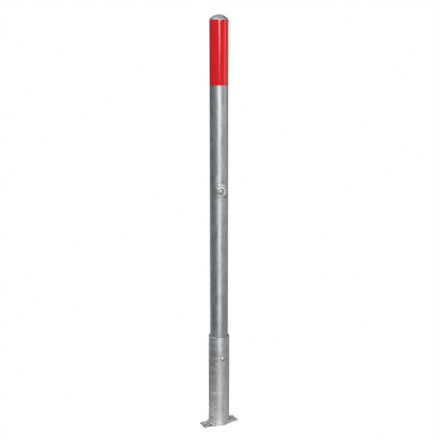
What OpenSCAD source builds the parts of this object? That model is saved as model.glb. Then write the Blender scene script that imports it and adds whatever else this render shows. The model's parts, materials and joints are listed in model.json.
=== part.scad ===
// Removable barrier post: a locking tube post in its ground sleeve.
// Millimetres. +Z is up, the floor is z = 0, the post stands on the Z axis and the lock faces -Y.
// The post is modelled unlocked, with the rod up and the hook swung clear of the catch pin.

/* [Post tube] */
// Outside diameter of the post tube
post_d = 60; // [60:1:90]
// Wall thickness of the post tube
post_wall = 2.5; // [2:0.1:3]
// Length of the post tube, without its cap
post_len = 1181; // [900:1:1600]
// How far the post tube reaches into the ground sleeve
post_insert = 150; // [140:1:200]
// Outside chamfer at the foot of the post tube
post_lead_in = 1.2; // [0.5:0.1:1.5]

/* [Cap and film] */
// Outer radius of the pressed dome, as a share of the tube's radius
dome_bulge = 1.2; // [1.1:0.05:1.8]
// Sheet thickness of the cap
cap_wall = 2.5; // [2:0.1:4]
// Height of the cap's straight rim
cap_rim = 1; // [0.5:0.1:3]
// Depth of the cap's skirt inside the tube
cap_skirt = 12; // [6:1:25]
// Height of the reflective film
film_len = 200; // [100:1:300]
// Thickness of the film with its adhesive
film_t = 0.6; // [0.3:0.1:1]
// Width of the film's overlap at the back, in degrees
film_overlap = 16; // [8:1:30]

/* [Ground sleeve] */
// Length of the sleeve tube
sleeve_len = 312; // [260:1:500]
// Wall thickness of the sleeve tube
sleeve_wall = 3; // [2.5:0.1:4]
// Radial gap between the post tube and the sleeve tube
sleeve_gap = 2; // [1:0.1:3]
// Edge chamfer of the sleeve's rim
rim_chamfer = 0.6; // [0.2:0.1:1]

/* [Foot bar] */
// Length of the bar
bar_len = 127; // [110:1:250]
// Width of the bar
bar_w = 40; // [30:1:60]
// Thickness of the bar
bar_t = 4; // [3:0.5:8]
// Rolled edge of the bar
bar_edge = 0.6; // [0.2:0.1:1]
// Angle of the bar to the lock's side face
bar_turn = 14; // [-45:0.5:45]
// Size of the weld bead at the sleeve's foot
foot_weld = 4.6; // [3:0.1:6]

/* [Catch pin] */
// Diameter of the catch pin
pin_d = 12; // [10:0.5:15]
// Depth of the catch pin below the sleeve's rim
pin_depth = 73; // [65:1:90]
// Angle of the catch pin to the lock's axis
pin_turn = 6.5; // [-10:0.5:10]
// How far the weld nub over each end of the pin reaches past the pin's edge
nub_over = 0.7; // [0.5:0.1:4]
// Height of the weld nub
nub_h = 3; // [2:0.1:4]
// Side clearance between the catch pin and the slots of the post
slot_gap = 1; // [0.5:0.1:2]

/* [Lock] */
// Height of the lock's axis above the sleeve's rim
lock_height = 495; // [300:1:800]
// Diameter of the barrel
barrel_d = 30; // [28:1:36]
// How far the barrel stands proud of the tube
barrel_proud = 3; // [1:0.5:6]
// Rounding of the barrel's outer edge
barrel_round = 3.2; // [0.5:0.1:3.4]
// Diameter of the key recess
recess_d = 20; // [18:0.5:24]
// Depth of the key recess
recess_depth = 9; // [8:0.5:11]
// Circle inside the three-sided key head
key_flat_d = 8.5; // [7:0.5:9]
// Circle over the head's truncated corners
key_corner_d = 14; // [12:0.5:16]
// How deep the tip of the key head lies below the barrel's face
key_setback = 1.2; // [0.5:0.1:3]
// Diameter of the spindle's shaft
shaft_d = 12; // [10:0.5:14]
// Size of the weld bead round the barrel
barrel_weld = 3.9; // [2.5:0.1:5]

/* [Crank and rod] */
// Radius of the crank
crank_r = 7; // [6:0.25:8]
// Diameter of the crank pin
crank_pin_d = 6; // [5:0.5:7]
// Outside diameter of the crank's roller
roller_d = 9; // [8:0.5:10]
// Thickness of the yoke plate
yoke_t = 4; // [3:0.5:5]
// Metal left round the yoke's slot
yoke_margin = 4.6; // [3:0.1:6]
// Diameter of the lock rod
rod_d = 10; // [8:0.5:12]

/* [Hook] */
// Thickness of the hook lever
hook_t = 8; // [6:0.5:10]
// Radius of the hook's hub
hook_hub_r = 9; // [8:0.25:10]
// Thickness of the hook's nose
nose_t = 8; // [6:0.5:9]
// Width of the hook's arm
arm_w = 14; // [12:0.5:15]
// Diameter of the hook's pivot pin
pivot_d = 8; // [7:0.5:9]
// Diameter of the drive pin in the fork
drive_d = 6; // [5:0.5:7]
// Side clearance between the open hook and the catch pin
nose_clear = 5; // [4:0.5:6]

/* [Hidden] */
$fn = 96;

// Finishes
GALVANISED = [0.63, 0.65, 0.66];
ZINC_WELD = [0.72, 0.74, 0.74];
FILM_RED = [0.83, 0.11, 0.14];
BRIGHT_STEEL = [0.74, 0.75, 0.76];
DARK_STEEL = [0.45, 0.46, 0.47];

// Clearances
fixed_gap = 0.05;      // between pieces that are pressed, welded or glued together
running_gap = 0.08;    // between a shaft and its bore
seat_gap = 0.1;        // between the slots' ends and the catch pin they rest on
linkage_gap = 0.3;     // above and below a pin that drives a slot
side_gap = 0.5;        // beside a plate that swings or slides
catch_gap = 1.2;       // between the hook's catch face and the catch pin
hub_wall_gap = 1.5;    // between the hook's hub and the tube
nose_wall_gap = 2.2;   // between the hook's nose and the tube
eps = 0.01;

// Tubes and heights
post_r = post_d / 2;
post_ir = post_r - post_wall;
sleeve_ir = post_r + sleeve_gap;
sleeve_r = sleeve_ir + sleeve_wall;
rim_z = bar_t + sleeve_len;
post_z = rim_z - post_insert;
post_top = post_z + post_len;
lock_z = rim_z + lock_height;
pin_z = rim_z - pin_depth;
pin_r = pin_d / 2;
slot_w = pin_d + 2 * slot_gap;
slot_end_z = pin_z + pin_r + seat_gap;
dome_r = post_r * dome_bulge;
dome_h = dome_r - sqrt(dome_r * dome_r - post_r * post_r);

// Linkage: the crank turns from 45 degrees above the horizontal to 45 below
crank_half_turn = 45;
rod_travel = 2 * crank_r * sin(crank_half_turn);
hook_arm = post_ir - hook_hub_r - hub_wall_gap;
hook_swing = 2 * asin(rod_travel / 2 / hook_arm);
nose_out_r = hook_arm + post_ir - nose_wall_gap;
nose_in_r = nose_out_r - nose_t;
pivot_reach = nose_in_r - catch_gap - pin_r;
pivot_z = pin_z + sqrt(pivot_reach * pivot_reach - hook_arm * hook_arm);
drive_z = pivot_z + rod_travel / 2;
nose_tip_angle = asin((hook_arm + pin_r + nose_clear) / nose_in_r) - hook_swing / 2;

// Lock, measured outwards from the post's axis
crank_face = yoke_t / 2 + 1;
crank_web = 3.4;
crank_len = 9.4;
crank_back = crank_face + crank_len;
washer_space = 1.6;
barrel_back = crank_back + washer_space;
barrel_face = post_r + barrel_proud;
recess_floor = barrel_face - recess_depth;
collar_t = 2.4;
collar_d = recess_d - 2 * linkage_gap;
stub_d = 9;
crank_disc_d = 2 * (crank_r + crank_pin_d / 2 + 2);
crank_pin_end = -yoke_t / 2 - 2.5;
key_tip = barrel_face - key_setback;
dowel_d = 3;
dowel_n = crank_back - 3;

// Yoke and rod
crank_x = crank_r * cos(crank_half_turn);
slot_h = roller_d + 2 * linkage_gap;
yoke_slot_left = crank_x - roller_d / 2 - side_gap;
yoke_slot_right = crank_r + roller_d / 2 + side_gap;
yoke_z = rod_travel / 2;
yoke_half_h = slot_h / 2 + yoke_margin;
tongue_w = rod_d + 4;
rod_top_drop = yoke_half_h + 9.2;
rod_slit = 14;
rod_top_z = lock_z + yoke_z - rod_top_drop;
fork_throat = 12;
fork_bridge = 6;
fork_neck = 10;
fork_ear_t = 4;
fork_w = hook_t + 2 * side_gap + 2 * fork_ear_t;
ear_drop = drive_d / 2 + 5;
neck_d = rod_d + 6;
rod_foot_z = drive_z + fork_throat + 0.5;
neck_top_z = drive_z + fork_throat + fork_bridge + fork_neck;
nut_h = 6;
nut_flat = 1.6 * rod_d;

// Spring clips on the drive pin
clip_n = fork_w / 2 + side_gap;
clip_t = 0.8;
clip_groove = 0.5;

// Guide cups
cup_t = 3;
cup_h = 12;
cup_collar_t = 3;
cup_clear = 6;
cup_drain_d = 7;
lower_cup_z = neck_top_z + nut_h + cup_clear;
upper_cup_z = rod_top_z - rod_slit - rod_travel - cup_clear - cup_h;

// Helpers

// Turns the drawing plane upright: local X stays, local Y points up, local Z points out of the lock's side
module facing_front(z) {
    translate([0, 0, z]) rotate([90, 0, 0]) children();
}

// The same at the catch pin's angle
module across_post(z) {
    rotate([0, 0, pin_turn]) facing_front(z) children();
}

// A round bar between two stations on the local Z axis
module bar_between(from, to, d) {
    translate([0, 0, from]) cylinder(h = to - from, d = d);
}

// A turned bar whose far end is rounded over
module rounded_bar(from, to, d, round) {
    rotate_extrude() polygon(concat(
        [[0, to], [0, from], [d / 2, from]],
        [for (a = [0:18:90]) [d / 2 - round * (1 - cos(a)), to - round * (1 - sin(a))]]
    ));
}

// An upright tube
module tube(from, to, outer_r, inner_r) {
    difference() {
        translate([0, 0, from]) cylinder(h = to - from, r = outer_r);
        translate([0, 0, from - 1]) cylinder(h = to - from + 2, r = inner_r);
    }
}

// A flat outline from x1 to x2 and y1 to y2 with round corners
module rounded_plate(x1, x2, y1, y2, r) {
    translate([x1 + r, y1]) square([x2 - x1 - 2 * r, y2 - y1]);
    translate([x1, y1 + r]) square([x2 - x1, y2 - y1 - 2 * r]);
    for (x = [x1 + r, x2 - r], y = [y1 + r, y2 - r])
        translate([x, y]) circle(r = r);
}

// The size of one ripple of a hand-laid weld bead, and how many ripples a run of the bead takes
function ripple(size, i) = size * (1 + 0.06 * sin(137 * i));
function ripples(run, size) = max(2, floor(run / (1.07 * size)));

// Ground sleeve

module sleeve_tube() {
    color(GALVANISED) difference() {
        union() {
            translate([0, 0, bar_t]) cylinder(h = sleeve_len - rim_chamfer, r = sleeve_r);
            translate([0, 0, rim_z - rim_chamfer])
                cylinder(h = rim_chamfer, r1 = sleeve_r, r2 = sleeve_r - rim_chamfer);
        }
        translate([0, 0, bar_t - 1]) cylinder(h = sleeve_len + 2, r = sleeve_ir);
        across_post(pin_z) bar_between(-sleeve_r - 1, sleeve_r + 1, pin_d + 2 * fixed_gap);
    }
}

module foot_bar() {
    half = bar_w / 2;
    color(GALVANISED) rotate([0, 0, bar_turn]) rotate([90, 0, 90])
        linear_extrude(bar_len, center = true)
            polygon([
                [-half + bar_edge, 0], [half - bar_edge, 0], [half, bar_edge],
                [half, bar_t - bar_edge], [half - bar_edge, bar_t], [-half + bar_edge, bar_t],
                [-half, bar_t - bar_edge], [-half, bar_edge]
            ]);
}

// Beads where the sleeve stands on the bar, thicker where they turn round the bar's edge
module foot_welds() {
    reach = asin(bar_w / 2 / sleeve_r);
    steps = ripples(sleeve_r * reach * PI / 180, foot_weld);
    color(ZINC_WELD) difference() {
        rotate([0, 0, bar_turn]) for (side = [0, 180], i = [-steps:steps])
            rotate([0, 0, side + reach * i / steps])
                translate([sleeve_r, 0, bar_t])
                    sphere(r = ripple(foot_weld, i + side) + (abs(i) == steps ? 0.8 : 0), $fn = 32);
        translate([0, 0, bar_t - fixed_gap]) cylinder(h = 20, r = sleeve_r + fixed_gap);
        rotate([0, 0, bar_turn]) translate([-bar_len, -bar_w / 2 - fixed_gap, -bar_len])
            cube([2 * bar_len, bar_w + 2 * fixed_gap, bar_len + bar_t + fixed_gap]);
        translate([0, 0, -bar_len + 0.4]) cylinder(h = bar_len, r = bar_len);
    }
}

module catch_pin() {
    end = sqrt(sleeve_r * sleeve_r - pin_r * pin_r) - fixed_gap;
    color(BRIGHT_STEEL) across_post(pin_z) bar_between(-end, end, pin_d);
}

// Weld nubs that close the sleeve's holes over the pin's ends
module catch_pin_welds() {
    foot_r = pin_r + nub_over;
    ball_r = (foot_r * foot_r + nub_h * nub_h) / (2 * nub_h);
    color(ZINC_WELD) difference() {
        across_post(pin_z) for (side = [-1, 1])
            translate([0, 0, side * (sleeve_r + nub_h - ball_r)]) sphere(r = ball_r);
        translate([0, 0, pin_z - 2 * foot_r]) cylinder(h = 4 * foot_r, r = sleeve_r + fixed_gap);
    }
}

// Post

// Two slots, open at the foot, that straddle the catch pin
module post_slots() {
    centre_z = slot_end_z - slot_w / 2;
    across_post(centre_z) linear_extrude(2 * post_r + 2, center = true) {
        circle(d = slot_w);
        translate([-slot_w / 2, post_z - 1 - centre_z]) square([slot_w, centre_z - post_z + 1]);
    }
}

module post_tube() {
    color(GALVANISED) difference() {
        union() {
            translate([0, 0, post_z + post_lead_in]) cylinder(h = post_len - post_lead_in, r = post_r);
            translate([0, 0, post_z])
                cylinder(h = post_lead_in, r1 = post_r - post_lead_in, r2 = post_r);
        }
        translate([0, 0, post_z - 1]) cylinder(h = post_len + 2, r = post_ir);
        post_slots();
        facing_front(lock_z) bar_between(post_ir / 2, post_r + 1, barrel_d + 2 * fixed_gap);
        across_post(pivot_z) translate([-hook_arm, 0, 0])
            bar_between(-post_r - 1, post_r + 1, pivot_d + 2 * fixed_gap);
    }
}

// Pressed sheet: a dome, a short straight rim that sits on the tube, and a skirt inside it
module dome_cap() {
    ball_z = post_top + cap_rim + dome_h - dome_r;
    skirt_r = post_ir - fixed_gap;
    color(GALVANISED) {
        difference() {
            union() {
                intersection() {
                    translate([0, 0, ball_z]) sphere(r = dome_r);
                    translate([0, 0, post_top + cap_rim]) cylinder(h = dome_r, r = post_r);
                }
                translate([0, 0, post_top + fixed_gap])
                    cylinder(h = cap_rim - fixed_gap + eps, r = post_r);
                translate([0, 0, post_top - cap_skirt])
                    cylinder(h = cap_skirt + cap_rim, r = skirt_r);
            }
            translate([0, 0, ball_z]) sphere(r = dome_r - cap_wall);
            translate([0, 0, post_top - cap_skirt - 1])
                cylinder(h = cap_skirt + 1, r = skirt_r - cap_wall);
        }
    }
}

// Film wrapped once round the tube, with its overlap at the back
module reflective_film() {
    film_r = post_r + fixed_gap;
    wedge_r = 2 * film_r;
    half_lap = film_overlap / 2;
    color(FILM_RED) translate([0, 0, post_top - film_len]) linear_extrude(film_len) difference() {
        union() {
            circle(r = film_r + film_t);
            intersection() {
                circle(r = film_r + 2 * film_t);
                polygon([
                    [0, 0], wedge_r * [sin(half_lap), cos(half_lap)],
                    wedge_r * [-sin(half_lap), cos(half_lap)]
                ]);
            }
        }
        circle(r = film_r);
    }
}

module lock_barrel() {
    color(GALVANISED) facing_front(lock_z) difference() {
        rounded_bar(barrel_back, barrel_face, barrel_d, barrel_round);
        bar_between(recess_floor, barrel_face + 1, recess_d);
        translate([0, 0, barrel_face - 0.6]) cylinder(h = 1.2, d1 = recess_d, d2 = recess_d + 2.4);
        bar_between(barrel_back - 1, recess_floor + 1, shaft_d + 2 * running_gap);
    }
}

// A bead that follows the saddle where the barrel leaves the tube, laid wider above and below the barrel
module lock_barrel_weld() {
    side_r = barrel_d / 2 + 0.1 * barrel_weld;
    steps = ripples(2 * PI * side_r, barrel_weld);
    color(ZINC_WELD) difference() {
        facing_front(lock_z) for (i = [0:steps - 1]) {
            a = 360 * i / steps;
            wide = abs(sin(a));
            bead_r = side_r + 0.5 * barrel_weld * wide;
            x = bead_r * cos(a);
            sunk = barrel_weld * (0.24 + 0.24 * wide);
            translate([x, bead_r * sin(a), sqrt(post_r * post_r - x * x) - sunk])
                sphere(r = ripple(barrel_weld, i), $fn = 32);
        }
        translate([0, 0, lock_z - barrel_d]) cylinder(h = 2 * barrel_d, r = post_r + fixed_gap);
        facing_front(lock_z) bar_between(0, 2 * post_r, barrel_d + 2 * fixed_gap);
    }
}

// A ring bent about an upright axis, so that it presses on the barrel and on the crank
module spring_washer() {
    washer_t = 0.6;
    washer_r = 10;
    rise = washer_space - washer_t - 2 * running_gap;
    bend_r = (washer_r * washer_r + rise * rise) / (2 * rise);
    crown = barrel_back - running_gap;
    color(BRIGHT_STEEL) facing_front(lock_z) intersection() {
        difference() {
            bar_between(crank_back, barrel_back, 2 * washer_r);
            bar_between(crank_back - 1, barrel_back + 1, shaft_d + 2 * side_gap);
        }
        translate([0, 0, crown - bend_r]) rotate([90, 0, 0]) difference() {
            cylinder(h = 3 * washer_r, r = bend_r, center = true);
            cylinder(h = 4 * washer_r, r = bend_r - washer_t, center = true);
        }
    }
}

// A pressed cup: a skirt against the tube, a drawn collar round the rod, and three drain holes
module guide_cup(z) {
    skirt_r = post_ir - fixed_gap;
    bore_r = rod_d / 2 + running_gap;
    color(GALVANISED) translate([0, 0, z]) difference() {
        union() {
            tube(0, cup_h, skirt_r, skirt_r - cup_t);
            tube(0, cup_t, skirt_r - cup_t / 2, bore_r);
            tube(0, cup_h, bore_r + cup_collar_t, bore_r);
        }
        for (a = [30, 150, 270]) rotate([0, 0, a])
            translate([(bore_r + cup_collar_t + skirt_r - cup_t) / 2, 0, -1])
                cylinder(h = cup_t + 2, d = cup_drain_d);
    }
}

module upper_guide_cup() { guide_cup(upper_cup_z); }

module lower_guide_cup() { guide_cup(lower_cup_z); }

// Runs through both walls of the tube and is ground flush with it
module hook_pivot_pin() {
    color(BRIGHT_STEEL) intersection() {
        across_post(pivot_z) translate([-hook_arm, 0, 0]) bar_between(-post_r, post_r, pivot_d);
        translate([0, 0, pivot_z - pivot_d]) cylinder(h = 2 * pivot_d, r = post_r - fixed_gap);
    }
}

// Spacer tubes that keep the hook in the middle of the post
module hook_spacers() {
    outer_r = pivot_d / 2 + 2;
    wall_x = hook_arm + outer_r;
    near = hook_t / 2 + 0.3;
    far = sqrt(post_ir * post_ir - wall_x * wall_x) - 0.3;
    color(BRIGHT_STEEL) across_post(pivot_z) translate([-hook_arm, 0, 0])
        for (side = [0, 180]) rotate([0, side, 0]) difference() {
            bar_between(near, far, 2 * outer_r);
            bar_between(near - 1, far + 1, pivot_d + 2 * fixed_gap);
        }
}

// Lock spindle

// Three-sided head with truncated corners and a domed tip, a collar, the shaft and its stub
module lock_spindle() {
    tip_ball_r = 1.5 * key_corner_d;
    color(BRIGHT_STEEL) facing_front(lock_z) difference() {
        union() {
            intersection() {
                rotate([0, 0, -90]) bar_between(recess_floor + collar_t, key_tip, 2 * key_flat_d, $fn = 3);
                bar_between(recess_floor, key_tip + 1, key_corner_d);
                translate([0, 0, key_tip - tip_ball_r]) sphere(r = tip_ball_r);
            }
            bar_between(recess_floor + running_gap, recess_floor + collar_t + eps, collar_d);
            bar_between(crank_back + fixed_gap, recess_floor + collar_t, shaft_d);
            bar_between(crank_face + crank_web + fixed_gap, recess_floor, stub_d);
        }
        rotate([0, 0, -45]) translate([0, 0, dowel_n]) rotate([0, 90, 0])
            cylinder(h = 2 * crank_disc_d, d = dowel_d + 2 * fixed_gap, center = true);
    }
}

// A turned disc with a blind socket for the spindle's stub and a crank pin on its inner face
module crank_disc() {
    color(DARK_STEEL) facing_front(lock_z) difference() {
        union() {
            bar_between(crank_face, crank_back, crank_disc_d);
            rotate([0, 0, crank_half_turn]) translate([crank_r, 0, 0])
                bar_between(crank_pin_end, crank_face + 1, crank_pin_d);
        }
        bar_between(crank_face + crank_web, crank_back + 1, stub_d + 2 * fixed_gap);
        rotate([0, 0, -45]) translate([0, 0, dowel_n]) rotate([0, 90, 0])
            cylinder(h = 2 * crank_disc_d, d = dowel_d + 2 * fixed_gap, center = true);
    }
}

module crank_dowel() {
    color(BRIGHT_STEEL) facing_front(lock_z) rotate([0, 0, -45])
        translate([0, 0, dowel_n]) rotate([0, 90, 0])
            cylinder(h = crank_disc_d - 1, d = dowel_d, center = true);
}

module crank_roller() {
    color(BRIGHT_STEEL) facing_front(lock_z) rotate([0, 0, crank_half_turn])
        translate([crank_r, 0, 0]) difference() {
            bar_between(-yoke_t / 2 - 1, yoke_t / 2 + 0.8, roller_d);
            bar_between(-yoke_t, yoke_t, crank_pin_d + 2 * running_gap);
        }
}

// Lock rod

// A plate whose level slot the crank roller runs in, with a tongue down into the rod
module yoke_plate() {
    slot_r = slot_h / 2;
    tongue_end = -rod_top_drop - rod_slit + fixed_gap;
    color(DARK_STEEL) facing_front(lock_z + yoke_z) linear_extrude(yoke_t, center = true) difference() {
        union() {
            rounded_plate(-tongue_w / 2, yoke_slot_right + yoke_margin, -yoke_half_h, yoke_half_h, 3);
            translate([-tongue_w / 2, tongue_end]) square([tongue_w, -tongue_end]);
        }
        rounded_plate(yoke_slot_left, yoke_slot_right, -slot_r, slot_r, slot_r - eps);
    }
}

module lock_rod() {
    color(BRIGHT_STEEL) difference() {
        translate([0, 0, rod_foot_z]) cylinder(h = rod_top_z - rod_foot_z, d = rod_d);
        translate([-rod_d, -yoke_t / 2 - fixed_gap, rod_top_z - rod_slit])
            cube([2 * rod_d, yoke_t + 2 * fixed_gap, rod_slit + 1]);
    }
}

module fork_lock_nut() {
    color(BRIGHT_STEEL) translate([0, 0, neck_top_z + fixed_gap]) difference() {
        intersection() {
            cylinder(h = nut_h, d = nut_flat / cos(30), $fn = 6);
            cylinder(h = nut_h, r1 = nut_flat / 2 + nut_h + 0.3, r2 = nut_flat / 2 + 0.3);
        }
        translate([0, 0, -1]) cylinder(h = nut_h + 2, d = rod_d + 2 * fixed_gap);
    }
}

// A square fork with a round neck, its ears slotted for the drive pin's small sideways travel
module rod_fork() {
    drift = hook_arm * (1 - cos(hook_swing / 2));
    slot_r = drive_d / 2 + linkage_gap / 2;
    color(DARK_STEEL) rotate([0, 0, pin_turn]) difference() {
        union() {
            translate([-fork_w / 2, -fork_w / 2, drive_z - ear_drop])
                cube([fork_w, fork_w, ear_drop + fork_throat + fork_bridge]);
            translate([0, 0, drive_z]) cylinder(h = neck_top_z - drive_z, d = neck_d);
        }
        translate([-fork_w, -hook_t / 2 - side_gap, drive_z - 2 * ear_drop])
            cube([2 * fork_w, hook_t + 2 * side_gap, 2 * ear_drop + fork_throat]);
        translate([0, 0, drive_z]) cylinder(h = neck_top_z, d = rod_d + 2 * fixed_gap);
        facing_front(drive_z) linear_extrude(2 * fork_w, center = true)
            rounded_plate(-drift - slot_r, slot_r, -slot_r, slot_r, slot_r - eps);
    }
}

// Hook

// Outline about the pivot with the arm level: hub, arm, and a nose curled about the pivot
module hook_outline() {
    arm_end = sqrt(nose_out_r * nose_out_r - arm_w * arm_w / 4);
    back_angle = 90 + asin(arm_w / 2 / nose_out_r);
    wedge_r = 2 * nose_out_r;
    difference() {
        union() {
            circle(r = hook_hub_r);
            translate([0, -arm_w / 2]) square([arm_end, arm_w]);
            intersection() {
                difference() {
                    circle(r = nose_out_r);
                    circle(r = nose_in_r);
                }
                polygon([
                    [0, 0],
                    wedge_r * [sin(nose_tip_angle), -cos(nose_tip_angle)],
                    wedge_r * [1, -1],
                    wedge_r * [sin(back_angle), -cos(back_angle)]
                ]);
            }
        }
        circle(d = pivot_d + 2 * running_gap);
        translate([hook_arm, 0]) circle(d = drive_d + 2 * fixed_gap);
    }
}

module hook_lever() {
    color(DARK_STEEL) across_post(pivot_z) translate([-hook_arm, 0, 0]) rotate([0, 0, hook_swing / 2])
        linear_extrude(hook_t, center = true) hook_outline();
}

// Places a child at the open hook's drive pin
module at_drive_pin() {
    across_post(pivot_z) translate([-hook_arm, 0, 0]) rotate([0, 0, hook_swing / 2])
        translate([hook_arm, 0, 0]) children();
}

module drive_pin() {
    end = clip_n + clip_t + 1.4;
    color(BRIGHT_STEEL) at_drive_pin() difference() {
        bar_between(-end, end, drive_d);
        for (side = [0, 180]) rotate([0, side, 0]) difference() {
            bar_between(clip_n - fixed_gap, clip_n + clip_t + fixed_gap, drive_d + 2);
            bar_between(clip_n - 1, clip_n + clip_t + 1, drive_d - 2 * clip_groove);
        }
    }
}

// Spring clips in the pin's grooves, open on one side
module drive_pin_clips() {
    color(BRIGHT_STEEL) at_drive_pin() for (side = [0, 180]) rotate([0, side, 0]) difference() {
        bar_between(clip_n, clip_n + clip_t, drive_d + 4);
        bar_between(clip_n - 1, clip_n + clip_t + 1, drive_d - 2 * clip_groove + 2 * fixed_gap);
        translate([-1.5, 0, clip_n - 1]) cube([3, drive_d, clip_t + 2]);
    }
}

sleeve_tube();
foot_bar();
foot_welds();
catch_pin();
catch_pin_welds();
post_tube();
dome_cap();
reflective_film();
lock_barrel();
lock_barrel_weld();
spring_washer();
upper_guide_cup();
lower_guide_cup();
hook_pivot_pin();
hook_spacers();
lock_spindle();
crank_disc();
crank_dowel();
crank_roller();
yoke_plate();
lock_rod();
fork_lock_nut();
rod_fork();
hook_lever();
drive_pin();
drive_pin_clips();
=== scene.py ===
"""Looks for the removable barrier post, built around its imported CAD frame."""

import json
import math
import random

import bmesh
import bpy
from mathutils import Matrix, Vector


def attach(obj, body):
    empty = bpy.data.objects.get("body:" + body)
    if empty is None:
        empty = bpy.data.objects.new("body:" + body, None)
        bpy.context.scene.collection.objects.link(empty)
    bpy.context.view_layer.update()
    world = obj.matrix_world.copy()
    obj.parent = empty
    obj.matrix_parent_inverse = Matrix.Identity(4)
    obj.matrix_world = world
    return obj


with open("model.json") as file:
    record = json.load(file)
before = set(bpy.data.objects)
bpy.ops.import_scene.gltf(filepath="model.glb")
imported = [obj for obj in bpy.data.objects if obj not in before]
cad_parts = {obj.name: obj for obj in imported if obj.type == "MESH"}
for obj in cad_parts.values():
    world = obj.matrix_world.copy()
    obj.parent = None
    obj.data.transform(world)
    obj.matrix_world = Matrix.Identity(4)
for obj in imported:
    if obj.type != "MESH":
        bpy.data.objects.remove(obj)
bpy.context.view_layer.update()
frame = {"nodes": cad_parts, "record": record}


scene = bpy.context.scene
scene.view_settings.view_transform = "Standard"
nodes = frame["nodes"]

# Sizes taken from the CAD
TUBE_RADIUS = 0.03
SLEEVE_RADIUS = 0.035
BAR_TURN = math.radians(14)

# Camera, as fitted to the photo
CAMERA_AZIMUTH = math.radians(-13.4)
CAMERA_YAW = math.radians(0.075)
CAMERA_PITCH = math.radians(11.759)
CAMERA_DISTANCE = 2.568
CAMERA_HEIGHT = 1.2463
CAMERA_REACH = 50.0
FOCAL_PIXELS = 802.0
PICTURE_PIXELS = 440.0
SENSOR_WIDTH = 36.0

camera_data = bpy.data.cameras.new("camera")
camera_data.sensor_width = SENSOR_WIDTH
camera_data.lens = FOCAL_PIXELS / PICTURE_PIXELS * camera_data.sensor_width
camera_data.clip_end = CAMERA_REACH
camera = bpy.data.objects.new("camera", camera_data)
scene.collection.objects.link(camera)
to_camera = Vector((math.sin(CAMERA_AZIMUTH), -math.cos(CAMERA_AZIMUTH), 0.0))
to_right = Vector((-to_camera.y, to_camera.x, 0.0))
camera.location = to_camera * CAMERA_DISTANCE + Vector((0, 0, CAMERA_HEIGHT))
camera.rotation_euler = (math.pi / 2 - CAMERA_PITCH, 0.0, CAMERA_AZIMUTH - CAMERA_YAW)
scene.camera = camera


# Node helpers
class Graph:
    """Short calls for building a node tree."""

    def __init__(self, tree):
        self.tree = tree
        tree.nodes.clear()

    def node(self, kind, inputs=None, **settings):
        made = self.tree.nodes.new(kind)
        for key, value in settings.items():
            setattr(made, key, value)
        for key, value in (inputs or {}).items():
            if isinstance(value, bpy.types.NodeSocket):
                self.tree.links.new(value, made.inputs[key])
            else:
                made.inputs[key].default_value = value
        return made

    def math(self, operation, a, b=0.0):
        return self.node("ShaderNodeMath", {0: a, 1: b}, operation=operation).outputs[0]

    def measure(self, operation, a, b=(0.0, 0.0, 0.0)):
        """One number out of vectors: a dot product, a distance or a length."""
        return self.node("ShaderNodeVectorMath", {0: a, 1: b}, operation=operation).outputs["Value"]

    def linear(self, value, low, high, out_low=0.0, out_high=1.0, kind="LINEAR"):
        """Carries low to high over to out_low to out_high, and stays there past the ends."""
        ends = {"From Min": low, "From Max": high, "To Min": out_low, "To Max": out_high}
        inputs = {"Value": value, **ends}
        return self.node("ShaderNodeMapRange", inputs, interpolation_type=kind).outputs[0]

    def smooth(self, value, low, high, out_low=0.0, out_high=1.0):
        return self.linear(value, low, high, out_low, out_high, "SMOOTHSTEP")

    def mix(self, factor, a, b, blend="MIX"):
        inputs = {0: factor, 6: a, 7: b}
        return self.node("ShaderNodeMix", inputs, data_type="RGBA", blend_type=blend).outputs[2]

    def noise(self, vector, scale, detail=3.0, roughness=0.5, distortion=0.0):
        """Noise with one scale, or stretched by three scales along x, y and z."""
        if isinstance(scale, tuple):
            vector = self.node("ShaderNodeMapping", {"Vector": vector, "Scale": scale}).outputs[0]
            scale = 1.0
        inputs = {"Vector": vector, "Scale": scale, "Detail": detail}
        inputs.update({"Roughness": roughness, "Distortion": distortion})
        return self.node("ShaderNodeTexNoise", inputs).outputs["Fac"]

    def cells(self, vector, scale):
        return self.node("ShaderNodeTexVoronoi", {"Vector": vector, "Scale": scale}).outputs

    def channel(self, colour, index):
        return self.node("ShaderNodeSeparateColor", {"Color": colour}).outputs[index]

    def turned(self, vector, angle):
        inputs = {"Vector": vector, "Rotation": (0.0, 0.0, angle)}
        return self.node("ShaderNodeMapping", inputs).outputs[0]

    def bump(self, height, distance, normal=None):
        inputs = {"Height": height, "Distance": distance, "Strength": 1.0}
        if normal is not None:
            inputs["Normal"] = normal
        return self.node("ShaderNodeBump", inputs).outputs[0]

    def azimuth(self, place):
        """Degrees round the post, 0 toward the camera and positive to its right."""
        ahead = self.measure("DOT_PRODUCT", place, to_camera)
        aside = self.measure("DOT_PRODUCT", place, to_right)
        return self.math("DEGREES", self.math("ARCTAN2", aside, ahead))

    def blend_to_surface(self, factor, first, second, kind):
        inputs = {0: factor, 1: first.outputs[0], 2: second.outputs[0]}
        shader = self.node("ShaderNodeMixShader", inputs)
        self.node(kind, {"Surface": shader.outputs[0]})


def grey(value):
    return (value, value, value, 1.0)


def tint(colour, factor):
    return tuple(c * factor for c in colour[:3]) + (1.0,)


# World: plain white to camera and transmission rays. All other rays find a dim room with pale
# walls behind the post, a softbox near the camera, a window on the right, a bright ceiling and a
# few low lights. Angles are in degrees.

# Light of the walls by azimuth, and light all round by elevation
AROUND = (
    (-180, 0.95), (-172, 0.85), (-160, 0.11), (-20, 0.08), (80, 0.1), (92, 0.24),
    (110, 0.42), (142, 0.44), (164, 0.95), (180, 0.95),
)
UPWARDS = (
    (-90, 0.32), (-48, 0.15), (-27, 0.045), (-8, 0.025), (16, 0.05), (30, 0.4), (90, 0.7),
)
# The walls' lower and upper edge in elevation, each with its softness
WALL_EDGES = (-23, 9, 15, 7)
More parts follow.
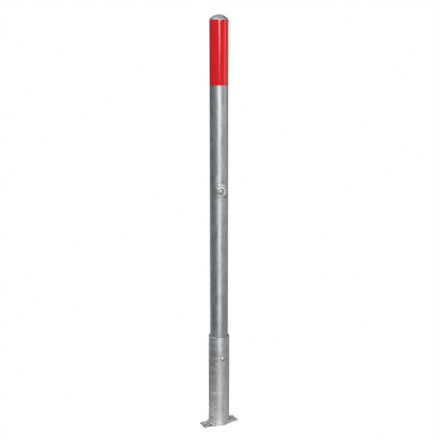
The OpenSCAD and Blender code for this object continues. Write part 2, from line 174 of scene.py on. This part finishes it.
# Light, middle and half width in azimuth with its softness, then lower and upper edge as above
PATCHES = {
    "softbox": (11.0, 7.2, 7.6, 2.0, 0.6, 2.0, 30.0, 5.0),
    "window": (1.3, 77.0, 14.5, 2.0, -9.0, 3.0, 12.0, 3.0),
    "front low": (0.55, 30.0, 26.0, 8.0, -20.0, 3.0, -5.0, 5.0),
    "front at the foot": (5.6, 5.0, 10.0, 4.0, -40.0, 8.0, -22.5, 3.0),
    "left low": (0.55, -138.0, 26.0, 12.0, -34.0, 6.0, -9.0, 5.0),
    "back": (1.9, 180.0, 24.0, 8.0, -28.0, 6.0, 2.0, 6.0),
    "back high": (0.6, 180.0, 24.0, 12.0, 44.0, 8.0, 70.0, 8.0),
    "ceiling": (2.4, -12.0, 90.0, 25.0, 31.0, 6.0, 66.0, 8.0),
}
# Light from below is a little blue: fully under the first elevation, not at all over the second
COOL = (0.915, 0.985, 1.065, 1.0)
COOL_FULL, COOL_GONE = -20, -6


def ramp_of(g, value, reach, steps):
    """A ramp over value from -reach to reach that is piecewise straight through the steps."""
    ramp = g.node("ShaderNodeValToRGB", {"Fac": g.linear(value, -reach, reach)})
    stops = ramp.color_ramp.elements
    stops.remove(stops[1])
    for i, (at, light) in enumerate(steps):
        place = (at + reach) / (2 * reach)
        stop = stops[0] if i == 0 else stops.new(place)
        stop.position = place
        stop.color = grey(light)
    return ramp.outputs["Color"]


def make_world():
    world = bpy.data.worlds.new("studio")
    scene.world = world
    world.use_nodes = True
    g = Graph(world.node_tree)
    direction = g.node("ShaderNodeTexCoord").outputs["Generated"]
    azimuth = g.azimuth(direction)
    upright = g.measure("DOT_PRODUCT", direction, (0, 0, 1))
    elevation = g.math("DEGREES", g.math("ARCSINE", upright))

    def between(low, low_soft, high, high_soft):
        above = g.smooth(elevation, low - low_soft, low + low_soft)
        below = g.smooth(elevation, high - high_soft, high + high_soft, 1.0, 0.0)
        return g.math("MULTIPLY", above, below)

    walls = g.math("MULTIPLY", ramp_of(g, azimuth, 180, AROUND), between(*WALL_EDGES))
    light = g.math("ADD", ramp_of(g, elevation, 90, UPWARDS), walls)
    for strength, middle, half_width, soft, *edges in PATCHES.values():
        aside = g.math("PINGPONG", g.math("SUBTRACT", azimuth, middle), 180.0)
        across = g.smooth(aside, half_width - soft, half_width + soft, strength, 0.0)
        light = g.math("ADD", light, g.math("MULTIPLY", across, between(*edges)))
    path = g.node("ShaderNodeLightPath").outputs
    seen = g.math("MAXIMUM", path["Is Camera Ray"], path["Is Transmission Ray"])
    tone = g.mix(g.smooth(elevation, COOL_FULL, COOL_GONE, 1.0, 0.0), grey(1.0), COOL)
    lit = g.node("ShaderNodeBackground", {"Color": tone, "Strength": light})
    white = g.node("ShaderNodeBackground", {"Color": grey(1.0), "Strength": 1.0})
    g.blend_to_surface(seen, lit, white, "ShaderNodeOutputWorld")


# Floor: white to the camera, with the object's own soft shadow near its foot
FLOOR_RADIUS = 0.6
FLOOR_SEGMENTS = 96
FLOOR_DROP = 0.0002
# The share of plain white grows from the first value to the second between these distances
WHITE_NEAR, WHITE_FAR = 0.12, 0.55
WHITE_SHARES = (0.45, 1.0)
# How pale the matt floor is to other rays and to the camera
FLOOR_PALE = (0.6, 0.98)
# In a mirror: light in front of the post and at its sides, half width and softness in azimuth
MIRROR_FRONT, MIRROR_SIDE = 0.74, 0.11
MIRROR_WIDTH, MIRROR_SOFT = 17.0, 10.0


def make_floor():
    mesh = bpy.data.meshes.new("floor")
    disc = bmesh.new()
    bmesh.ops.create_circle(disc, cap_ends=True, segments=FLOOR_SEGMENTS, radius=FLOOR_RADIUS)
    disc.to_mesh(mesh)
    disc.free()
    floor = bpy.data.objects.new("floor", mesh)
    floor.location.z = -FLOOR_DROP
    scene.collection.objects.link(floor)
    material, g, place = new_material("pale_floor")
    path = g.node("ShaderNodeLightPath").outputs
    seen = g.math("MAXIMUM", path["Is Camera Ray"], path["Is Transmission Ray"])
    seen = g.math("MAXIMUM", seen, path["Is Glossy Ray"])
    reach = g.measure("LENGTH", place)
    share = g.math("MULTIPLY", seen, g.smooth(reach, WHITE_NEAR, WHITE_FAR, *WHITE_SHARES))
    pale = g.linear(path["Is Camera Ray"], 0.0, 1.0, *FLOOR_PALE)
    matt = g.node("ShaderNodeBsdfDiffuse", {"Color": pale})
    aside = g.math("ABSOLUTE", g.azimuth(place))
    narrow, wide = MIRROR_WIDTH - MIRROR_SOFT, MIRROR_WIDTH + MIRROR_SOFT
    mirrored = g.smooth(aside, narrow, wide, MIRROR_FRONT, MIRROR_SIDE)
    strength = g.linear(path["Is Glossy Ray"], 0.0, 1.0, 1.0, mirrored)
    glow = g.node("ShaderNodeEmission", {"Color": grey(1.0), "Strength": strength})
    g.blend_to_surface(share, matt, glow, "ShaderNodeOutputMaterial")
    mesh.materials.append(material)


# Materials
def new_material(name):
    made = bpy.data.materials.new(name)
    made.use_nodes = True
    graph = Graph(made.node_tree)
    return made, graph, graph.node("ShaderNodeTexCoord").outputs["Object"]


def surface(g, base, metal, rough, normal, edge=1.0):
    inputs = {"Base Color": base, "Metallic": metal, "Roughness": rough, "Normal": normal}
    inputs["Specular Tint"] = grey(edge)
    shader = g.node("ShaderNodeBsdfPrincipled", inputs)
    g.node("ShaderNodeOutputMaterial", {"Surface": shader.outputs[0]})


def on_round(radius, degrees, height):
    """A point on an upright tube, degrees to the right of the side with the lock."""
    turn = math.radians(degrees)
    return Vector((radius * math.sin(turn), -radius * math.cos(turn), height))


# Noise in the zinc: scale, detail, roughness and distortion
RUNS = ((60, 60, 9), 4.0, 0.55, 0.4)
RUNS_ALONG_BAR = ((26, 420, 60), 3.0, 0.6, 0.3)
RIBS = ((16, 16, 130), 3.0, 0.6, 0.3)
LINES = ((30, 30, 420), 2.0, 0.6)
FINE = ((170, 170, 330), 2.0, 0.6)
CLOUDS = (46.0, 3.0, 0.6)
GRAIN = (1400.0, 2.0, 0.6)
# How high each stands in the bump, in metres at a relief or ripple of 1
RUN_RISE, RIB_RISE, FINE_RISE, GRAIN_RISE = 0.0006, 0.0012, 0.00012, 0.00005
# The middle part of a noise's range, in which nearly all its values lie
NOISE_LOW, NOISE_HIGH = 0.3, 0.7
SPANGLE_CELLS = 150.0
# Ash specks: cells, share of the cells without one, inner and outer radius, and how dark
SPECK_CELLS, SPECK_FREE = 55.0, 0.8
SPECK_INSIDE, SPECK_OUTSIDE, SPECK_SHADE = 0.05, 0.11, 0.62
# Rings are strongest on one side, so many degrees from the lock, where they are partly zinc streaks
# and partly painted shade of the ribs. Between these cosines of the angle to that side they grow
# from the least to the most.
LINED_SIDE = -65
LINED_FROM, LINED_TO = 0.6, 0.9
LINED_LEAST, LINED_MOST = 0.2, 1.5
# How strong the thin lines in the rings are beside the ribs
LINE_SHARE = 0.7
# A mark is full within this share of its radius
MARK_CORE = 0.35
# Painted shade in crevices: the colour darkens where the open share of the sky falls from the
# second value to the first
CREVICE_REACH, CREVICE_SAMPLES = 0.006, 8
CREVICE_SHUT, CREVICE_OPEN = 0.25, 0.9
GLOSS_SPREAD = 0.05
# Zinc mirrors less at grazing angles
ZINC_EDGE = 0.5


def zinc(name, colour, rough, spangle, runs, relief, metal=0.95, ripple=0.0, rings=0.0, marks=(),
         painted_crevice_shade=0.0, grain_size=0.05, turn=0.0, lined_radius=None):
    """Hot-dip zinc with runs, ribs, rings, spangle, a fine grain, ash specks and placed marks; the
    marks may be painted shade or highlights, and crevices get painted shade.
    """
    made, g, place = new_material(name)
    run = g.noise(g.turned(place, turn), *RUNS_ALONG_BAR) if turn else g.noise(place, *RUNS)
    rib, line, fine = g.noise(place, *RIBS), g.noise(place, *LINES), g.noise(place, *FINE)
    cloud, grain = g.noise(place, *CLOUDS), g.noise(place, *GRAIN)
    cell = g.channel(g.cells(place, SPANGLE_CELLS)["Color"], 0)
    spots = g.cells(place, SPECK_CELLS)
    chosen = g.math("GREATER_THAN", g.channel(spots["Color"], 1), SPECK_FREE)
    round_spot = g.smooth(spots["Distance"], SPECK_INSIDE, SPECK_OUTSIDE, 1.0, 0.0)
    speck = g.math("MULTIPLY", round_spot, chosen)

    def around_nought(wave, depth):
        return g.linear(wave, NOISE_LOW, NOISE_HIGH, -depth, depth)

    ringed = g.math("ADD", around_nought(rib, rings), around_nought(line, LINE_SHARE * rings))
    # Painted shade: the colour rings are weighted toward one side, where they stand for the ribs'
    # shading as well as for zinc streaks
    if lined_radius:
        side = g.measure("DOT_PRODUCT", place, on_round(1 / lined_radius, LINED_SIDE, 0.0))
        painted_rib_shade_side = g.smooth(side, LINED_FROM, LINED_TO, LINED_LEAST, LINED_MOST)
        ringed = g.math("MULTIPLY", ringed, painted_rib_shade_side)
    shade = g.linear(run, NOISE_LOW, NOISE_HIGH, 1.0 - runs, 1.0 + runs)
    shade = g.math("ADD", shade, ringed)
    shade = g.math("ADD", shade, g.linear(cell, 0.0, 1.0, -spangle, spangle))
    shade = g.math("ADD", shade, around_nought(cloud, runs))
    shade = g.math("ADD", shade, around_nought(fine, grain_size))
    shade = g.math("MULTIPLY", shade, g.linear(speck, 0.0, 1.0, 1.0, SPECK_SHADE))
    for spot, radius, depth in marks:
        away = g.measure("DISTANCE", place, spot)
        shade = g.math("MULTIPLY", shade, g.smooth(away, radius * MARK_CORE, radius, depth, 1.0))
    # Painted shade: the colour is darkened where ambient occlusion finds a crevice or recess
    if painted_crevice_shade:
        sky = g.node("ShaderNodeAmbientOcclusion", {"Distance": CREVICE_REACH},
                     samples=CREVICE_SAMPLES).outputs["AO"]
        open_share = g.linear(sky, CREVICE_SHUT, CREVICE_OPEN, 1.0 - painted_crevice_shade, 1.0)
        shade = g.math("MULTIPLY", shade, open_share)
    shade = g.node("ShaderNodeCombineColor", {0: shade, 1: shade, 2: shade}).outputs[0]
    base = g.mix(1.0, colour + (1.0,), shade, "MULTIPLY")
    gloss = g.linear(cell, 0.0, 1.0, rough - GLOSS_SPREAD, rough + GLOSS_SPREAD)
    gloss = g.math("ADD", gloss, around_nought(cloud, GLOSS_SPREAD))
    normal = g.bump(run, RUN_RISE * relief)
    normal = g.bump(rib, RIB_RISE * ripple, normal)
    normal = g.bump(fine, FINE_RISE * relief, normal)
    normal = g.bump(grain, GRAIN_RISE * relief, normal)
    surface(g, base, metal, gloss, normal, ZINC_EDGE)
    return made


STEEL_GRAIN = ((900, 900, 900), 3.0, 0.6)
STEEL_GRAIN_RISE = 0.00004
STEEL_STAINS = (90.0, 3.0, 0.6)
STAIN_DARK, STAIN_PALE = 0.86, 1.06
STAIN_GLOSS, STAIN_DULL = -0.06, 0.08


def steel(name, colour, rough):
    """Plain machined steel, a little stained, with a fine grain."""
    made, g, place = new_material(name)
    stain = g.noise(place, *STEEL_STAINS)
    base = g.mix(g.linear(stain, 0.35, 0.7), tint(colour, STAIN_DARK), tint(colour, STAIN_PALE))
    gloss = g.linear(stain, NOISE_LOW, NOISE_HIGH, rough + STAIN_GLOSS, rough + STAIN_DULL)
    surface(g, base, 1.0, gloss, g.bump(g.noise(place, *STEEL_GRAIN), STEEL_GRAIN_RISE))
    return made


FILM_RED = (0.565, 0.0085, 0.0155, 1.0)
FILM_RED_CLOUD = (0.60, 0.0105, 0.0185, 1.0)
FILM_CLOUDS = (28.0, 3.0, 0.55)
FILM_WAVES = ((40, 40, 5), 1.0, 0.5)
FILM_WAVE_RISE = 0.000012
FILM_ROUGH = 0.095
BEAD_RED = (0.85, 0.06, 0.07, 1.0)
BEAD_CELLS, BEAD_RADIUS, BEAD_SHARE = 1600.0, 0.6, 0.03


def film(name):
    """Glossy red film with fine beads that show a little paler."""
    made, g, place = new_material(name)
    cloud = g.noise(place, *FILM_CLOUDS)
    base = g.mix(g.linear(cloud, NOISE_LOW, NOISE_HIGH), FILM_RED, FILM_RED_CLOUD)
    beads = g.cells(place, BEAD_CELLS)["Distance"]
    base = g.mix(g.linear(beads, 0.0, BEAD_RADIUS, BEAD_SHARE, 0.0), base, BEAD_RED)
    wave = g.noise(place, *FILM_WAVES)
    surface(g, base, 0.0, FILM_ROUGH, g.bump(wave, FILM_WAVE_RISE))
    return made


def marks_on(radius, marks):
    return [(on_round(radius, turn, height), size, depth) for turn, height, size, depth in marks]


# Painted light and shade near the lock: place, radius and how dark (under 1) or pale (over 1). The
# dark ones are painted shade in the recess, on the left of the barrel and bead and on the spindle's
# tip; the pale ones are painted highlights on the right of the barrel and on the bead's right and
# bottom.
BARREL_PAINTED_LIGHT_AND_SHADE = (
    ((0.001, -0.0268, 0.8085), 0.0145, 0.52), ((0.0135, -0.0355, 0.809), 0.011, 1.4),
    ((-0.0145, -0.034, 0.809), 0.012, 0.6),
)
SPINDLE_PAINTED_SHADE = (((0.0035, -0.0318, 0.8065), 0.008, 0.62),)
BEAD_PAINTED_LIGHT_AND_SHADE = (
    ((-0.0175, -0.028, 0.811), 0.016, 0.5), ((-0.001, -0.031, 0.7945), 0.011, 1.25),
    ((0.0165, -0.0275, 0.811), 0.010, 1.25),
)
# Marks on the tubes: degrees from the lock, height, radius and how dark or pale. Among them, the
# dark ones right of and below the lock, just under the catch pin's nub and under the big lump on
# the sleeve are painted shadows.
TUBE_MARKS_AND_PAINTED_SHADOW = marks_on(TUBE_RADIUS, (
    (5.8, 0.6215, 0.0042, 0.5), (13, 0.841, 0.0055, 0.66), (28, 0.792, 0.009, 0.72),
    (23, 0.789, 0.006, 0.8), (-38, 0.815, 0.009, 0.8), (9, 0.7, 0.0035, 0.72),
))
SLEEVE_MARKS_AND_PAINTED_SHADOW = marks_on(SLEEVE_RADIUS, (
    (12.8, 0.2362, 0.0036, 0.45), (-18, 0.008, 0.024, 1.25), (-36, 0.0648, 0.006, 0.75),
    (-48, 0.0648, 0.006, 0.75),
))


def weld_zinc(name, marks=()):
    return zinc(name, (0.50, 0.51, 0.51), rough=0.5, spangle=0.05, runs=0.06, relief=0.8,
                ripple=0.1, marks=marks, painted_crevice_shade=0.55)


def dress_nodes():
    """Gives every CAD node the material of its slot, or one of its own."""
    slots = {
        "galvanised_tube": zinc(
            "zinc_tube", (0.475, 0.49, 0.495), rough=0.45, spangle=0.06, runs=0.10, relief=0.7,
            ripple=0.12, rings=0.075, marks=TUBE_MARKS_AND_PAINTED_SHADOW, grain_size=0.15, lined_radius=TUBE_RADIUS),
        "galvanised_cap": zinc(
            "zinc_cap", (0.38, 0.395, 0.40), rough=0.42, spangle=0.05, runs=0.07, relief=0.6),
        "galvanised_sleeve": zinc(
            "zinc_sleeve", (0.615, 0.625, 0.633), rough=0.45, spangle=0.07, runs=0.045,
            relief=0.45, ripple=0.04, rings=0.2, marks=SLEEVE_MARKS_AND_PAINTED_SHADOW, painted_crevice_shade=0.5,
            grain_size=0.12, lined_radius=SLEEVE_RADIUS),
        "zinc_weld": weld_zinc("zinc_bead"),
        "red_film": film("reflective_red"),
        "bright_steel": steel("steel_bright", (0.58, 0.58, 0.57), 0.28),
        "dark_steel": steel("steel_dark", (0.24, 0.235, 0.23), 0.42),
    }
    own = {
        "foot_bar": zinc(
            "zinc_bar", (0.475, 0.48, 0.478), rough=0.5, spangle=0.34, runs=0.25, relief=0.8,
            painted_crevice_shade=0.4, grain_size=0.42, turn=-BAR_TURN),
        "lock_barrel": zinc(
            "zinc_barrel", (0.58, 0.59, 0.59), rough=0.42, spangle=0.04, runs=0.05, relief=0.5,
            marks=BARREL_PAINTED_LIGHT_AND_SHADE, painted_crevice_shade=0.6),
        "lock_barrel_weld": weld_zinc("zinc_lock_bead", BEAD_PAINTED_LIGHT_AND_SHADE),
        "lock_spindle": zinc(
            "zinc_spindle", (0.52, 0.53, 0.53), rough=0.46, spangle=0.03, runs=0.04, relief=0.3,
            marks=SPINDLE_PAINTED_SHADE, painted_crevice_shade=0.5),
    }
    slot_of = {part["node"]: part["material_slot"] for part in frame["record"]["subparts"]}
    for name, obj in nodes.items():
        obj.data.materials.clear()
        obj.data.materials.append(own.get(name) or slots[slot_of[name]])


# Zinc lumps: degrees from the lock, then height, width, length and rise in millimetres
TUBE_LUMPS = (
    (-10.7, 830.0, 5.0, 3.6, 0.9), (15.9, 830.5, 4.4, 3.4, 1.0), (36.0, 828.0, 4.0, 4.4, 0.9),
    (8.0, 835.0, 3.4, 5.0, 1.1), (-22.0, 789.0, 2.2, 2.2, 0.9), (27.0, 786.0, 2.4, 2.8, 0.9),
    (49.0, 799.0, 1.8, 1.8, 0.8), (-41.0, 842.0, 1.8, 2.0, 0.7), (12.0, 771.0, 1.9, 2.3, 0.7),
)
SLEEVE_LUMPS = (
    (-40.0, 69.5, 17.0, 8.0, 1.5), (-52.0, 58.0, 5.0, 3.0, 0.7), (-38.0, 91.0, 6.0, 2.6, 0.6),
    (25.0, 262.0, 2.2, 2.2, 0.8), (-8.0, 213.0, 2.0, 2.4, 0.7), (41.0, 30.0, 3.4, 3.0, 0.9),
    (-33.0, 24.0, 3.4, 3.4, 1.0), (160.0, 40.0, 3.0, 3.0, 0.9), (205.0, 120.0, 2.4, 2.8, 0.7),
)
LUMP_LEAN = 0.18


def uneven(point, lean):
    """How far a point on a ball stands in or out."""
    x, _, z = point
    across = lean[1] * math.sin(3 * x + 5 * lean[2])
    return 1 + lean[0] * x * z + across + lean[3] * math.sin(4 * z + 5 * lean[4])


def lumps(name, body, radius, spots, material):
    """Small half-sunk lumps of zinc on a tube, each a little out of round."""
    made = bmesh.new()
    rng = random.Random(7)
    for degrees, height, width, length, rise in spots:
        ball = bmesh.ops.create_icosphere(made, subdivisions=3, radius=1.0)["verts"]
        turn = Matrix.Rotation(math.radians(degrees), 4, "Z")
        size = Matrix.Diagonal((width / 2000, rise / 1000, length / 2000, 1.0))
        spot = Matrix.Translation(on_round(radius, degrees, height / 1000))
        lean = [rng.uniform(-LUMP_LEAN, LUMP_LEAN) for _ in range(6)]
        for v in ball:
            v.co *= uneven(v.co, lean)
        bmesh.ops.transform(made, matrix=spot @ turn @ size, verts=ball)
    mesh = bpy.data.meshes.new(name)
    made.to_mesh(mesh)
    made.free()
    for face in mesh.polygons:
        face.use_smooth = True
    piece = bpy.data.objects.new(name, mesh)
    scene.collection.objects.link(piece)
    mesh.materials.append(material)
    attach(piece, body)


make_world()
make_floor()
dress_nodes()
# The lumps' zinc is made paler than the rest so that they show bright: a painted glint
lump_zinc_with_painted_glint = zinc("zinc_lump", (0.70, 0.71, 0.71), rough=0.45, spangle=0.03, runs=0.04, relief=0.4,
                 metal=0.9, painted_crevice_shade=0.2)
lumps("tube_zinc_lumps", "post", TUBE_RADIUS, TUBE_LUMPS, lump_zinc_with_painted_glint)
lumps("sleeve_zinc_lumps", "ground_sleeve", SLEEVE_RADIUS, SLEEVE_LUMPS, lump_zinc_with_painted_glint)
